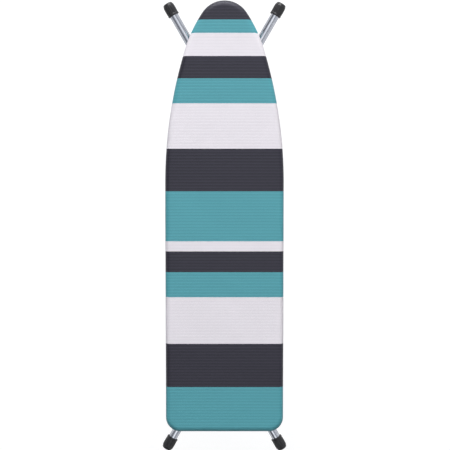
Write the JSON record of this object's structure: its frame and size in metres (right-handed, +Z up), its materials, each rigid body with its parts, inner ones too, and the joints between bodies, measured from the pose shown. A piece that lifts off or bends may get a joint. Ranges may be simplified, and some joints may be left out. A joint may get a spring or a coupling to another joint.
{
  "type": "folding ironing board",
  "caption": "Folding ironing board: striped padded cover on an expanded-steel deck, scissor tube legs with flared rubber feet, notched height rack and release lever.",
  "frame": {"origin": "on the floor under the middle of the folded board's bounding box", "axes": "+X to the right of someone standing at the tail, +Y from the tail to the nose, +Z up from the floor through the padded face"},
  "size_m": [0.3214, 1.1569, 0.0558],
  "materials": {
    "cover_fabric": "woven cotton, finely ribbed, plain stripes across the board",
    "elastic": "flat woven elastic tape",
    "pad_felt": "needled felt",
    "deck_steel": "grey enamel on expanded steel",
    "frame_steel": "grey enamel",
    "zinc_sheet": "zinc plated sheet",
    "leg_tube": "bright plated tube",
    "foot_rubber": "matt black rubber",
    "black_plastic": "black plastic",
    "nylon": "natural nylon",
    "hardware_steel": "zinc plated steel"
  },
  "bodies": {
    "board": {"cover": "cover_fabric", "hem_elastic": "elastic", "pad": "pad_felt", "deck_mesh": "deck_steel", "rim_tube": "frame_steel", "hinge_brace": "frame_steel", "middle_brace": "frame_steel", "front_brace": "frame_steel", "height_rack": "zinc_sheet", "hinge_bracket_left": "frame_steel", "hinge_bracket_right": "frame_steel", "hinge_pins": "hardware_steel", "hinge_nuts": "hardware_steel", "shaft_hangers": "frame_steel", "return_spring": "zinc_sheet"},
    "nose_leg": {"nose_leg_tube_left": "leg_tube", "nose_leg_tube_right": "leg_tube", "nose_leg_crossbar": "leg_tube", "nose_leg_plug_left": "black_plastic", "nose_leg_plug_right": "black_plastic", "nose_foot_left": "foot_rubber", "nose_foot_right": "foot_rubber", "cross_pins": "hardware_steel", "cross_nuts": "hardware_steel", "cross_spacers": "nylon"},
    "tail_leg": {"tail_leg_tube_left": "leg_tube", "tail_leg_tube_right": "leg_tube", "tail_leg_crossbar": "leg_tube", "tail_leg_plug_left": "black_plastic", "tail_leg_plug_right": "black_plastic", "tail_foot_left": "foot_rubber", "tail_foot_right": "foot_rubber", "slide_bar": "hardware_steel", "guide_bushes": "nylon", "bar_caps": "black_plastic"},
    "release_lever": {"release_shaft": "hardware_steel", "press_plate": "zinc_sheet", "trigger_plate": "zinc_sheet", "trigger_grip": "black_plastic"}
  },
  "joints": [
    {"name": "nose_leg_fold", "type": "hinge", "parent": "board", "child": "nose_leg", "pos_m": [0, -0.3415, 0.0145], "axis": [-1, 0, 0], "range_deg": [0, 62]},
    {"name": "tail_leg_scissor", "type": "hinge", "parent": "nose_leg", "child": "tail_leg", "pos_m": [0, -0.0005, 0.0145], "axis": [1, 0, 0], "range_deg": [0, 124]},
    {"name": "lever_squeeze", "type": "hinge", "parent": "board", "child": "release_lever", "pos_m": [0.076, 0.07, 0.0349], "axis": [0, -1, 0], "range_deg": [0, 7], "stiffness_Nm_per_rad": 1.2, "springref_deg": -14.32, "deforming": ["return_spring"]}
  ],
  "couplings": [
    {"joint": "tail_leg_scissor", "follows": "nose_leg_fold", "ratio": 2}
  ]
}
